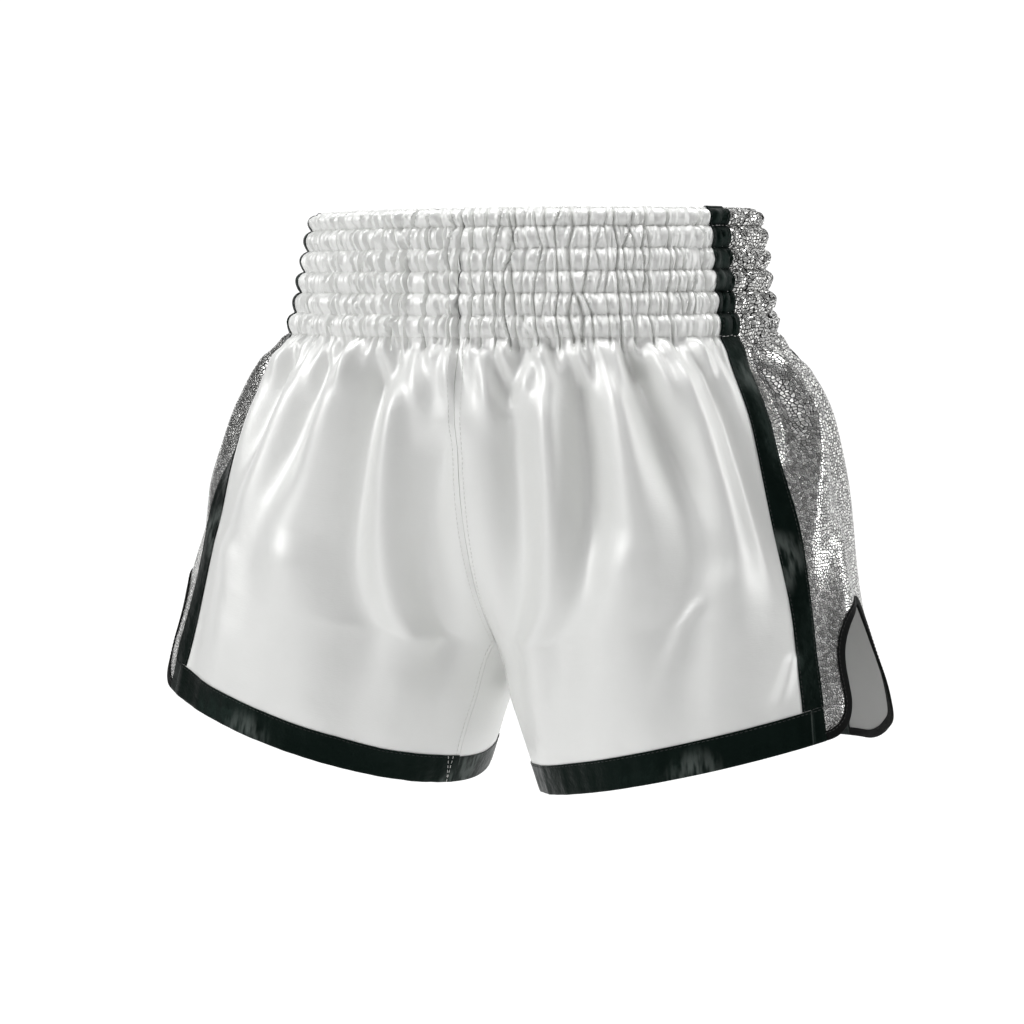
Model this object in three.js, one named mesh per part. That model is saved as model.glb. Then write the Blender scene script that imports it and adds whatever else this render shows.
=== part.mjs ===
// Muay-Thai-cut boxing shorts in their worn shape, in millimetres.
// +X points to the wearer's left, -Y to the front and +Z up. The origin is the middle of the waist opening.
// One smooth surface, the shell, runs through all the cloth, and each piece is a sheet at its own height over
// that shell: panels on it, tapes over it and round its edges, and elastics and facing inside it.
// The left half is described here, and the right half mirrors it.
import * as THREE from "three";

// ---- Driving dimensions ----
const CLOTH = 0.8; // thickness of a panel
const TAPE = 0.8; // thickness of trim, hem and binding
const ELASTIC = 1.2;
const GAP = 0.3; // between pieces that are sewn edge to edge
const LAYER_GAP = 0.7; // between pieces that lie on each other
const FOLD_GAP = 1.2; // between a panel and a tape folded round its edge
const TRIM_WIDTH = 14;
const HEM_WIDTH = 17;
const BINDING_WIDTH = 4.5;
const WAISTBAND = 75; // height of the shirred waistband
const TOP_CHANNEL = 10; // the first of the waistband's channels is lower than the five below it
const CHANNELS = 6;
const CHANNEL_CLEARANCE = 1.5; // from an elastic's edge to its channel's stitching
const INSEAM_DEPTH = 359; // waist top to hem at the inseam
const FRONT_RISE = 62; // how much higher than that the hem is at the side, on the front flap
const BACK_RISE = 32; // and on the back flap
const BACK_FLAP_ANGLE = 135; // from the front, where the hem has come down to that
// The vent's width at the hem to each side of its top, the radius of the flap's round corner, and the
// roundness of its edge: 1 is straight and less bulges into the flap.
const VENT = {
  front: { width: 43, corner: 19, roundness: 0.4 },
  back: { width: 24, corner: 24, roundness: 0.75 },
};
const VENT_TOP = 0.12; // share of the way from the fork's level to the hem
const BINDING_START = 2; // from the trim's outer edge, clear of the hem band's slanted end
const GUSSET_HALF_WIDTH = 28;
const GUSSET_CROWN = 6; // how much lower the rounding over the fork is than a sharp fold
const SEAM_SHARE = 0.4; // share of the half girth from the centre front to the side panel
const SIDE_SHARE = 0.5;

// Cross-sections of one half of the body. depth is below the waist's top edge, wide the half width, front and
// back the half depths, out how far the section's middle is from the body's middle plane, fore how far it is
// set forward, and seam and backSeam the side panel's seams as angles from the front and from the back.
const SECTIONS = [
  { depth: 0, wide: 144, front: 114, back: 104, out: 0, fore: 0, seam: 67, backSeam: 67 }, // waist
  { depth: WAISTBAND, wide: 160, front: 109, back: 113, out: 0, fore: 13, seam: 65, backSeam: 65 }, // waistband's foot
  { depth: 138, wide: 176, front: 110, back: 124, out: 16, fore: 19, seam: 61, backSeam: 61 }, // hip
  { depth: 239, wide: 116, front: 79, back: 116, out: 100, fore: 40, seam: 56, backSeam: 53 }, // fork
  { depth: 285, wide: 111, front: 77, back: 112, out: 117, fore: 45, seam: 51, backSeam: 43 }, // thigh
  { depth: 331, wide: 110, front: 85, back: 107, out: 134, fore: 43, seam: 44, backSeam: 32 }, // hem
];
const HEM = SECTIONS.at(-1).depth;
const HIP = SECTIONS[2].depth;

// ---- Materials ----
const finish = (color, roughness, metalness = 0) =>
  new THREE.MeshStandardMaterial({ color, roughness, metalness });
const MATERIALS = {
  whiteSatin: finish(0xeeeeee, 0.38),
  silverFoil: finish(0xa9a9a6, 0.35, 0.8),
  blackSatin: finish(0x07100d, 0.4),
  blackBinding: finish(0x0a0c0c, 0.6),
  elastic: finish(0xf2f2ee, 0.85),
};

// ---- The shell ----
const { clamp, degToRad, lerp, smoothstep } = THREE.MathUtils;
const RIGHT_ANGLE = Math.PI / 2;
const count = (n) => Array.from({ length: n }, (_, i) => i);
const spread = (from, to, steps) => count(steps + 1).map((i) => lerp(from, to, i / steps));

// Where a rising or falling function crosses zero between low and high.
function crossing(f, low, high) {
  const rising = f(high) > f(low);
  for (let i = 0; i < 40; i++) {
    const middle = (low + high) / 2;
    if (f(middle) > 0 === rising) high = middle;
    else low = middle;
  }
  return (low + high) / 2;
}

// A section size at any depth: a cubic through the sections, with each slope taken from its neighbours.
function sizeAt(key, depth) {
  const last = SECTIONS.length - 1;
  const slope = (i) => {
    const [above, below] = [SECTIONS[Math.max(i - 1, 0)], SECTIONS[Math.min(i + 1, last)]];
    return (below[key] - above[key]) / (below.depth - above.depth);
  };
  const below = SECTIONS.findIndex((section) => section.depth > depth);
  const i = below < 0 ? last - 1 : Math.max(below - 1, 0);
  const [a, b] = [SECTIONS[i], SECTIONS[i + 1]];
  const h = b.depth - a.depth;
  const t = (depth - a.depth) / h;
  const [t2, t3] = [t * t, t * t * t];
  const ends = (2 * t3 - 3 * t2 + 1) * a[key] + (3 * t2 - 2 * t3) * b[key];
  return ends + h * ((t3 - 2 * t2 + t) * slope(i) + (t3 - t2) * slope(i + 1));
}

// The legs part at the fork. Above it a half section starts on the middle plane, and below it at the gusset.
const middleShare = (depth) => clamp(sizeAt("out", depth) / sizeAt("wide", depth), 0, 1);
const middleReach = (depth) => sizeAt("front", depth) * Math.sqrt(1 - middleShare(depth) ** 2);
const FORK = crossing((depth) => middleReach(depth) - GUSSET_HALF_WIDTH, HIP, HEM);
function startAngle(depth) {
  if (depth < FORK) return -Math.asin(middleShare(depth));
  return -Math.acos(GUSSET_HALF_WIDTH / sizeAt("front", depth));
}

// The angle from the front at a share of the half girth: 0 is the centre front and 1 the centre back.
function angleAt(share, depth, seamKey = "seam") {
  if (share > SIDE_SHARE) return Math.PI - angleAt(1 - share, depth, "backSeam");
  const seam = degToRad(sizeAt(seamKey, depth));
  if (share < SEAM_SHARE) return lerp(startAngle(depth), seam, share / SEAM_SHARE);
  return lerp(seam, RIGHT_ANGLE, (share - SEAM_SHARE) / (SIDE_SHARE - SEAM_SHARE));
}

// Real depth over section depth below the waistband. It is less at the sides, where the hem rises.
function stretchAt(angle) {
  const backness = smoothstep(angle, RIGHT_ANGLE, degToRad(BACK_FLAP_ANGLE));
  const rise = lerp(FRONT_RISE, BACK_RISE, backness) * (0.5 + 0.5 * Math.sin(angle));
  return (INSEAM_DEPTH - rise - WAISTBAND) / (HEM - WAISTBAND);
}

function pointAtAngle(angle, depth) {
  const depthKey = Math.cos(angle) > 0 ? "front" : "back";
  const x = sizeAt("out", depth) + sizeAt("wide", depth) * Math.sin(angle);
  const y = -sizeAt("fore", depth) - sizeAt(depthKey, depth) * Math.cos(angle);
  const below = Math.max(depth - WAISTBAND, 0);
  return new THREE.Vector3(x, y, below - depth - below * stretchAt(angle));
}

const shell = (share, depth) => pointAtAngle(angleAt(share, depth), depth);

const STEP_SHARE = 0.002;
const STEP_DEPTH = 0.5;
function shellNormal(share, depth) {
  const s = clamp(share, STEP_SHARE, 1 - STEP_SHARE);
  const across = shell(s + STEP_SHARE, depth).sub(shell(s - STEP_SHARE, depth));
  const down = shell(s, depth + STEP_DEPTH).sub(shell(s, depth - STEP_DEPTH));
  return down.cross(across).normalize();
}

// A point at a height over the shell. No cloth of the left half crosses the middle plane.
function place(share, depth, height) {
  const point = shell(share, depth).addScaledVector(shellNormal(share, depth), height);
  point.x = Math.max(point.x, GAP / 2);
  return point;
}

// Along the girth and up from the hem, in millimetres.
const sharePerMm = (share, depth) =>
  (2 * STEP_SHARE) / shell(share + STEP_SHARE, depth).distanceTo(shell(share - STEP_SHARE, depth));
const onFlap = (share, flap) => (flap === "back" ? 1 - share : share);
const aboveHem = (share, mm) => HEM - mm / stretchAt(angleAt(share, HEM));

// ---- Solids ----
const gridFaces = (rows, columns, id = (r, c) => r * columns + c) =>
  count(rows - 1).flatMap((r) =>
    count(columns - 1).map((c) => [id(r, c), id(r + 1, c), id(r + 1, c + 1), id(r, c + 1)]),
  );

// A closed solid between two skins that share their faces, with a wall along every open edge.
function solid(outer, inner, faces) {
  const indices = [];
  const quad = (a, b, c, d) => indices.push(a, b, c, a, c, d);
  const edgesOf = (face) => face.map((a, i) => [a, face[(i + 1) % face.length]]);
  const edges = new Set(faces.flatMap(edgesOf).map(String));
  for (const face of faces) {
    quad(...face);
    quad(...face.map((i) => i + outer.length).reverse());
    for (const [a, b] of edgesOf(face))
      if (!edges.has(String([b, a]))) quad(b, a, a + outer.length, b + outer.length);
  }
  const used = [...new Set(indices)];
  const renumbered = new Map(used.map((old, i) => [old, i]));
  const points = [...outer, ...inner];
  const coordinates = used.flatMap((i) => points[i].toArray());
  const geometry = new THREE.BufferGeometry();
  geometry.setAttribute("position", new THREE.Float32BufferAttribute(coordinates, 3));
  geometry.setIndex(indices.map((i) => renumbered.get(i)));
  return facingOut(geometry);
}

// Turns every face over when the solid is inside out.
function facingOut(geometry) {
  const position = geometry.getAttribute("position");
  const index = geometry.index.array;
  const corners = [0, 1, 2].map(() => new THREE.Vector3());
  let volume = 0;
  for (let i = 0; i < index.length; i += 3) {
    corners.forEach((corner, k) => corner.fromBufferAttribute(position, index[i + k]));
    volume += corners[0].dot(corners[1].clone().cross(corners[2]));
  }
  if (volume < 0) index.reverse();
  geometry.computeVertexNormals();
  return geometry;
}

// A sheet from a grid of [share, depth] spots, between two heights over the shell.
function sheet(spots, [low, high], faces = gridFaces(spots.length, spots[0].length)) {
  const skin = (height) => spots.flat().map(([share, depth]) => place(share, depth, height));
  return solid(skin(high), skin(low), faces);
}

// A tape folded round an edge. flanges(i, height, inward) gives the point at station i of the edge that is so
// far over the shell and so far in from the edge.
function foldedTape(stations, width, flanges) {
  const fold = (height, below) => [[height, width], [height, -below], [-height, -below], [-height, width]];
  const skin = (profile) =>
    count(stations).flatMap((i) => profile.map(([height, inward]) => flanges(i, height, inward)));
  const [low, high] = LAYERS.foldedTape;
  return solid(skin(fold(high, GAP + TAPE)), skin(fold(low, GAP)), gridFaces(stations, 4));
}

const shorts = new THREE.Group();
function add(name, geometry, material) {
  const mesh = new THREE.Mesh(geometry, MATERIALS[material]);
  mesh.name = name;
  shorts.add(mesh);
}

// The left piece and its mirror image.
function addPair(name, geometry, material) {
  add(`${name}_left`, geometry, material);
  add(`${name}_right`, facingOut(geometry.clone().scale(-1, 1, 1)), material);
}

// ---- Heights, rows and columns that the pieces share, so that their facets lie parallel ----
const half = CLOTH / 2;
const overCloth = half + LAYER_GAP;
const underElastic = overCloth + ELASTIC + LAYER_GAP;
const LAYERS = {
  panel: [-half, half],
  tape: [overCloth, overCloth + TAPE],
  foldedTape: [half + FOLD_GAP, half + FOLD_GAP + TAPE],
  elastic: [-overCloth - ELASTIC, -overCloth],
  facing: [-underElastic - CLOTH, -underElastic],
};
const FALLS = [0, VENT_TOP, 0.15, 0.2, 0.3, 0.5, 0.75, 1]; // from the fork to the hem, closer where the vent rounds
const LEG_ROWS = FALLS.map((fall) => lerp(FORK, HEM, fall));
const BODY_ROWS = [...spread(0, WAISTBAND, 3), ...spread(WAISTBAND, FORK, 9).slice(1, -1), ...LEG_ROWS];
const PANEL_COLUMNS = spread(0, SEAM_SHARE, 12);
const FLAP_COLUMNS = [0, 0.3, 0.5, 0.65, 0.78, 0.88, 0.96, 1]; // from seam to vent, closer where the corner rounds
const SIDE_COLUMNS = FLAP_COLUMNS.map((across) => lerp(SEAM_SHARE, SIDE_SHARE, across));

// ---- Front and back panels ----
function panelSpots(row) {
  const inset = (GAP / 2) * sharePerMm(SEAM_SHARE / 2, row);
  return PANEL_COLUMNS.map((share) => [clamp(share, row < FORK ? 0 : inset, SEAM_SHARE - inset), row]);
}
const toBack = ([share, depth]) => [1 - share, depth];
const frontSpots = BODY_ROWS.map(panelSpots);
addPair("front_panel", sheet(frontSpots, LAYERS.panel), "whiteSatin");
addPair("back_panel", sheet(frontSpots.map((row) => row.map(toBack)), LAYERS.panel), "whiteSatin");

// ---- Side panels ----
// The vent is cut into the middle of the panel's lower end and leaves two flaps with round lower corners.
// across runs from 0 at the seam to 1 at the vent, and fall from 0 at the fork's level to 1 at the hem.
function flapSpot(across, fall, flap) {
  const { width: cut, corner, roundness } = VENT[flap];
  const perMm = sharePerMm(onFlap((SIDE_SHARE + SEAM_SHARE) / 2, flap), lerp(FORK, HEM, fall));
  const vented = clamp((fall - VENT_TOP) / (1 - VENT_TOP), 0, 1);
  const width = (SIDE_SHARE - SEAM_SHARE) / perMm - cut * vented ** roundness;
  const intoCorner = clamp(1 - (width * (1 - across)) / corner, 0, 1);
  const lift = corner * (1 - Math.sqrt(1 - intoCorner ** 2));
  const lowest = aboveHem(onFlap(SIDE_SHARE, flap), lift);
  const depth = lerp(lerp(FORK, HEM, Math.min(fall, VENT_TOP)), lowest, vented);
  const spot = [SEAM_SHARE + Math.max(width * across, GAP / 2) * perMm, depth];
  return flap === "back" ? toBack(spot) : spot;
}

function sidePanel() {
  const above = BODY_ROWS.filter((row) => row < FORK);
  const solidSpots = above.map((row) => {
    const inset = (GAP / 2) * sharePerMm(SEAM_SHARE, row);
    return SIDE_COLUMNS.map((share) => [Math.max(share, SEAM_SHARE + inset), row]);
  });
  const flapSpots = FALLS.map((fall) => [
    ...FLAP_COLUMNS.map((across) => flapSpot(across, fall, "front")),
    ...FLAP_COLUMNS.map((across) => flapSpot(across, fall, "back")).reverse(),
  ]);
  const spots = [...solidSpots.map((row) => [...row, ...row.map(toBack).reverse()]), ...flapSpots];
  const columns = spots[0].length;
  const frontEdge = columns / 2 - 1; // the two middle columns are one above the vent
  const ventRow = above.length + FALLS.indexOf(VENT_TOP);
  const joined = (r, c) => r * columns + (c === frontEdge + 1 && r <= ventRow ? frontEdge : c);
  const faces = gridFaces(spots.length, columns, joined).filter((_, i) => i % (columns - 1) !== frontEdge);
  return sheet(spots, LAYERS.panel, faces);
}
addPair("side_panel", sidePanel(), "silverFoil");

// ---- Trims over the seams, from the waist down to the hem band ----
const trimReach = (row, flap) => (TRIM_WIDTH / 2) * sharePerMm(onFlap(SEAM_SHARE, flap), row);
function trimSpots(row, flap) {
  const reach = trimReach(row, flap);
  const depth = Math.min(row, aboveHem(onFlap(SEAM_SHARE, flap), HEM_WIDTH + GAP));
  return [-reach, 0, reach].map((offset) => [onFlap(SEAM_SHARE + offset, flap), depth]);
}
for (const flap of ["front", "back"])
  addPair(`trim_${flap}`, sheet(BODY_ROWS.map((row) => trimSpots(row, flap)), LAYERS.tape), "blackSatin");

// ---- Hem bands, from the gusset to the trim's outer edge ----
for (const flap of ["front", "back"]) {
  const trimEdge = SEAM_SHARE + trimReach(HEM, flap);
  const edge = [...frontSpots.at(-1).map(([share]) => share), lerp(SEAM_SHARE, trimEdge, 0.4), trimEdge];
  const shares = edge.map((share) => onFlap(share, flap));
  const flanges = (i, height, up) => place(shares[i], aboveHem(shares[i], up), height);
  addPair(`hem_band_${flap}`, foldedTape(shares.length, HEM_WIDTH, flanges), "blackSatin");
}

// ---- Vent bindings, along the flaps' lower edges and round the vent ----
function ventBinding() {
  const climb = (flap) => {
    const start = SEAM_SHARE + trimReach(HEM, flap) + BINDING_START * sharePerMm(onFlap(SEAM_SHARE, flap), HEM);
    const lowerEdge = FLAP_COLUMNS.map((across) => flapSpot(across, 1, flap));
    return [
      [onFlap(start, flap), HEM],
      ...lowerEdge.filter(([share]) => onFlap(share, flap) > start + 0.004),
      ...FALLS.filter((fall) => fall > VENT_TOP && fall < 1).reverse().map((fall) => flapSpot(1, fall, flap)),
    ];
  };
  const path = [...climb("front"), flapSpot(1, VENT_TOP, "front"), ...climb("back").reverse()];
  const edge = path.map(([share, depth]) => shell(share, depth));
  const normals = path.map(([share, depth]) => shellNormal(share, depth));
  const into = edge.map((_, i) => {
    const along = edge[Math.min(i + 1, edge.length - 1)].clone().sub(edge[Math.max(i - 1, 0)]);
    return normals[i].clone().cross(along).normalize();
  });
  return foldedTape(path.length, BINDING_WIDTH, (i, height, inward) =>
    edge[i].clone().addScaledVector(normals[i], height).addScaledVector(into[i], inward),
  );
}
addPair("vent_binding", ventBinding(), "blackBinding");

// ---- Crotch gusset, from one inner hem over the fork to the other ----
// turn runs from 1 at the front seam to -1 at the back seam.
const GUSSET_TURNS = spread(1 - GAP / (2 * GUSSET_HALF_WIDTH), GAP / (2 * GUSSET_HALF_WIDTH) - 1, 8);
const innerAngle = (turn, depth) => lerp(-RIGHT_ANGLE, startAngle(depth), turn);
function gussetPoint(turn, fall) {
  const meeting = crossing((depth) => pointAtAngle(innerAngle(turn, depth), depth).x, FORK, HEM);
  const depth = lerp(meeting, HEM, fall);
  const point = pointAtAngle(innerAngle(turn, depth), depth);
  const under = depth - meeting;
  const crown = GUSSET_CROWN * (1 - turn ** 2) * (1 - fall);
  point.z -= Math.hypot(under, crown) - under;
  return point;
}

// Points and outward normals of a grid on the gusset, from the left hem to the right.
function gussetGrid() {
  const left = [...FALLS].reverse().map((fall) => GUSSET_TURNS.map((turn) => gussetPoint(turn, fall)));
  left.at(-1).forEach((point) => point.setX(0));
  const flip = new THREE.Vector3(-1, 1, 1);
  const right = left.slice(0, -1).map((row) => row.map((point) => point.clone().multiply(flip)));
  const points = [...left, ...right.reverse()];
  const between = (list, i) => [list[Math.max(i - 1, 0)], list[Math.min(i + 1, list.length - 1)]];
  const normals = points.map((row, r) =>
    row.map((_, c) => {
      const [above, below] = between(points, r);
      const [near, far] = between(row, c);
      const along = below[c].clone().sub(above[c]);
      return far.clone().sub(near).cross(along).normalize();
    }),
  );
  return { points, normals };
}
const gusset = gussetGrid();
const gussetSkin = (height) =>
  gusset.points.flatMap((row, r) =>
    row.map((point, c) => point.clone().addScaledVector(gusset.normals[r][c], height)),
  );
const gussetFaces = gridFaces(gusset.points.length, GUSSET_TURNS.length);
add("crotch_gusset", solid(...LAYERS.panel.map(gussetSkin).reverse(), gussetFaces), "whiteSatin");

// The hem band across the gusset's end.
function gussetHemBand() {
  const [hemRow, nextRow] = gusset.points;
  const up = hemRow.map((point, i) => nextRow[i].clone().sub(point).normalize());
  return foldedTape(hemRow.length, HEM_WIDTH, (i, height, rise) =>
    hemRow[i].clone().addScaledVector(gusset.normals[0][i], height).addScaledVector(up[i], rise),
  );
}
addPair("hem_band_gusset", gussetHemBand(), "blackSatin");

// ---- Waistband: a closed ring of elastic in each channel, and the facing behind them ----
function waistRing(top, bottom, layer) {
  const halfShares = [...PANEL_COLUMNS, ...SIDE_COLUMNS];
  const shares = [...new Set([...halfShares, ...halfShares.map((share) => 1 - share)])].sort((a, b) => a - b);
  const rows = spread(top, bottom, Math.ceil((bottom - top) / 25));
  const skin = (height) =>
    rows.flatMap((row) => {
      const left = shares.map((share) => place(share, row, height));
      [left[0], left.at(-1)].forEach((point) => point.setX(0));
      const right = left.slice(1, -1).map((point) => new THREE.Vector3(-point.x, point.y, point.z));
      return [...left, ...right.reverse()];
    });
  const around = 2 * shares.length - 2;
  const faces = gridFaces(rows.length, around + 1, (r, c) => r * around + (c % around));
  const [low, high] = LAYERS[layer];
  return solid(skin(high), skin(low), faces);
}
const lowChannel = (WAISTBAND - TOP_CHANNEL) / (CHANNELS - 1);
for (const i of count(CHANNELS)) {
  const top = i === 0 ? 0 : TOP_CHANNEL + (i - 1) * lowChannel;
  const height = i === 0 ? TOP_CHANNEL : lowChannel;
  const ring = waistRing(top + CHANNEL_CLEARANCE, top + height - CHANNEL_CLEARANCE, "elastic");
  add(`elastic_band_${i + 1}`, ring, "elastic");
}
add("waist_facing", waistRing(0, WAISTBAND, "facing"), "whiteSatin");

export default shorts;
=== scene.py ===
# %% [markdown]
# # Boxing shorts in satin and crackled foil
# These shorts are cut the Muay Thai way: short, wide in the leg, vented at the sides and held by a deep
# shirred waistband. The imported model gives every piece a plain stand-in. This file builds the cloth itself,
# in metres and in the same frame, so nothing is fitted afterwards.

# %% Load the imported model
import math

import bpy
import numpy as np
from mathutils import Matrix, Vector


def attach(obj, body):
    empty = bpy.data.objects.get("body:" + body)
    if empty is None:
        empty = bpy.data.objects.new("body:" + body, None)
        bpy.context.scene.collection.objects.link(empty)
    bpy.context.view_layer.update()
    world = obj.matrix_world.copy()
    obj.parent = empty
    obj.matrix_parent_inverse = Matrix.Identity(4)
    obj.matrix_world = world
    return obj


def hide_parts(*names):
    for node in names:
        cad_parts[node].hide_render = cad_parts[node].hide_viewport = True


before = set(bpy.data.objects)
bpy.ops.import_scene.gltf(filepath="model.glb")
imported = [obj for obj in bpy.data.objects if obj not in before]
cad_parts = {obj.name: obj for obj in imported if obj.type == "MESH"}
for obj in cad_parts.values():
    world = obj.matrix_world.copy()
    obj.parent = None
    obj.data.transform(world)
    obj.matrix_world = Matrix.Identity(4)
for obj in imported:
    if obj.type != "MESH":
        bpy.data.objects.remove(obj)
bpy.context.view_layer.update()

# %% [markdown]
# ## One surface for the whole garment
# Cloth pieces that are sewn together share their seams, so it is easier to describe one body surface and cut
# all pieces out of it than to model each piece alone. The surface is a loft: six oval sections of half the
# body, from waist to hem, joined by a smooth cubic. A place on it has a side (1 is the wearer's left and -1
# the right), a share of the half girth (0 is the centre front and 1 the centre back) and a depth below the
# waist. The sections repeat the imported model's, which is lofted from the same table. Nothing here proves that
# the two agree.

# %% The sections of the body
SECTIONS = {
    "depth": [0.0, 0.075, 0.138, 0.239, 0.285, 0.331],
    "wide": [0.144, 0.160, 0.176, 0.116, 0.111, 0.110],
    "front": [0.114, 0.109, 0.110, 0.079, 0.077, 0.085],
    "back": [0.104, 0.113, 0.124, 0.116, 0.112, 0.107],
    "out": [0.0, 0.0, 0.016, 0.100, 0.117, 0.134],
    "fore": [0.0, 0.013, 0.019, 0.040, 0.045, 0.043],
    "seam": np.radians([67, 65, 61, 56, 51, 44]),
    "back_seam": np.radians([67, 65, 61, 53, 43, 32]),
}
WAISTBAND, HIP, HEM = (SECTIONS["depth"][i] for i in (1, 2, 5))
INSEAM_DEPTH = 0.359
FRONT_RISE, BACK_RISE, BACK_FLAP_ANGLE = 0.062, 0.032, np.radians(135)
SEAM_SHARE, SIDE_SHARE = 0.4, 0.5
GUSSET_HALF_WIDTH = 0.028
CLOTH, GAP = 0.0006, 0.0003  # the cloth's thickness, and the space kept between pieces


def size_at(key, depth):
    """A section size at any depth: a cubic through the sections, sloped by their neighbours."""
    d, y = np.array(SECTIONS["depth"]), np.array(SECTIONS[key])
    slope = np.empty_like(y)
    slope[1:-1] = (y[2:] - y[:-2]) / (d[2:] - d[:-2])
    slope[0], slope[-1] = (y[1] - y[0]) / (d[1] - d[0]), (y[-1] - y[-2]) / (d[-1] - d[-2])
    i = np.clip(np.searchsorted(d, depth, side="right") - 1, 0, len(d) - 2)
    h = d[i + 1] - d[i]
    t = (depth - d[i]) / h
    ends = (2 * t**3 - 3 * t**2 + 1) * y[i] + (3 * t**2 - 2 * t**3) * y[i + 1]
    return ends + h * ((t**3 - 2 * t**2 + t) * slope[i] + (t**3 - t**2) * slope[i + 1])


def mix(a, b, t):
    return a + (b - a) * t


def ease(x, low, high):
    t = np.clip((x - low) / (high - low), 0, 1)
    return t * t * (3 - 2 * t)


def start_angle(depth):
    """Where a half section begins: on the middle plane, or at the gusset's edge below the fork."""
    share = np.clip(size_at("out", depth) / size_at("wide", depth), 0, 1)
    front = size_at("front", depth)
    on_plane = front * np.sqrt(1 - share**2) > GUSSET_HALF_WIDTH
    return np.where(on_plane, -np.arcsin(share), -np.arccos(GUSSET_HALF_WIDTH / front))


def crossing(f, low, high):
    """Where a function of one array crosses zero, by halving."""
    low, high = np.broadcast_arrays(np.float64(low), np.float64(high))
    rising = f(high) > f(low)
    for _ in range(40):
        middle = (low + high) / 2
        above = (f(middle) > 0) == rising
        low, high = np.where(above, low, middle), np.where(above, middle, high)
    return (low + high) / 2


def angle_at(share, depth):
    folded = np.where(share > SIDE_SHARE, 1 - share, share)
    seam = np.where(share > SIDE_SHARE, size_at("back_seam", depth), size_at("seam", depth))
    front = mix(start_angle(depth), seam, folded / SEAM_SHARE)
    side = mix(seam, np.pi / 2, (folded - SEAM_SHARE) / (SIDE_SHARE - SEAM_SHARE))
    angle = np.where(folded < SEAM_SHARE, front, side)
    return np.where(share > SIDE_SHARE, np.pi - angle, angle)


def stretch_at(angle):
    """Real depth over section depth below the waistband, less at the sides where the hem rises."""
    backness = ease(angle, np.pi / 2, BACK_FLAP_ANGLE)
    rise = mix(FRONT_RISE, BACK_RISE, backness) * (0.5 + 0.5 * np.sin(angle))
    return (INSEAM_DEPTH - rise - WAISTBAND) / (HEM - WAISTBAND)


def point_at_angle(angle, depth):
    reach = np.where(np.cos(angle) > 0, size_at("front", depth), size_at("back", depth))
    x = size_at("out", depth) + size_at("wide", depth) * np.sin(angle)
    y = -size_at("fore", depth) - reach * np.cos(angle)
    below = np.maximum(depth - WAISTBAND, 0)
    return np.stack([x, y, below - depth - below * stretch_at(angle)], -1)


def body(share, depth):
    return point_at_angle(angle_at(share, depth), depth)


def unit(v):
    return v / np.linalg.norm(v, axis=-1, keepdims=True)


def middle_reach(depth):
    share = np.clip(size_at("out", depth) / size_at("wide", depth), 0, 1)
    return size_at("front", depth) * np.sqrt(1 - share**2)


FORK = float(crossing(lambda d: middle_reach(d) - GUSSET_HALF_WIDTH, HIP, HEM))
print("the legs part at a section depth of", round(FORK, 4))

# %% [markdown]
# ## Relief: puffs, creases, flutes and drapes
# Cloth that is gathered on elastic can't lie flat. Between two rows of stitching it puffs out, and the spare
# width folds into upright creases that run on from channel to channel. Below the last row the spare width
# opens into flutes, which fade on the way to the hem. A cloth simulation could find such folds, but the
# gathers are finer than a mesh that it can move in a minute. Here they are heights over the body surface,
# so that every piece cut from it, and every stitch on it, follows the same folds.

# %% The waistband's channels
CHANNEL_ENDS = np.array([0.0, 0.010, 0.023, 0.036, 0.049, 0.062, 0.075])
HALF_GIRTH = 0.40  # the girth coordinate in metres is side * share * HALF_GIRTH
PUFF, ROW_HEIGHT = 0.0036, 0.0004  # a puff over its rows of stitching, and the rows over the body
TOP_ROLL = 0.0016  # radius of the fold at the waist's top edge


def ripple(seed, *coords, waves=9):
    """Smooth noise of about unit size: a sum of sines in random directions. One unit is about a wave."""
    rng = np.random.default_rng(seed)
    total = 0
    for _ in range(waves):
        turn = sum(f * c for f, c in zip(rng.normal(size=len(coords)), coords))
        total = total + np.sin(2 * np.pi * turn + rng.uniform(0, 2 * np.pi))
    return total / math.sqrt(waves / 2)


def channel_place(depth):
    """How far down its channel a depth is, from 0 to 1, and the channel's number."""
    k = np.clip(np.searchsorted(CHANNEL_ENDS, depth, side="right") - 1, 0, len(CHANNEL_ENDS) - 2)
    return (depth - CHANNEL_ENDS[k]) / (CHANNEL_ENDS[k + 1] - CHANNEL_ENDS[k]), k


def near_trim(girth):
    """1 under the trims and 0 a little way from them."""
    away = np.abs(np.abs(girth) / HALF_GIRTH - SEAM_SHARE) * HALF_GIRTH
    away_back = np.abs(np.abs(girth) / HALF_GIRTH - (1 - SEAM_SHARE)) * HALF_GIRTH
    return 1 - ease(np.minimum(away, away_back), 0.006, 0.013)


# %% Upright creases of the waistband
def make_creases():
    rng = np.random.default_rng(7)
    creases = []
    place = -HALF_GIRTH
    while place < HALF_GIRTH:
        through = rng.random() < 0.62
        first = 0 if through else rng.integers(0, 5)
        last = 6 if through else min(first + rng.integers(1, 4), 6)
        creases.append(
            {
                "place": place,
                "wobble": rng.normal(0, 0.0016, len(CHANNEL_ENDS)),
                "top": CHANNEL_ENDS[first],
                "foot": CHANNEL_ENDS[last] + (0.012 if last == 6 else 0),
                "deep": rng.uniform(0.0018, 0.0040),
                "wide": rng.uniform(0.0006, 0.0011),
            }
        )
        place += rng.uniform(0.0035, 0.0085)
    return creases


CREASES = make_creases()
CREASE_FOOT = max(crease["foot"] for crease in CREASES) + 0.003


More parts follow.
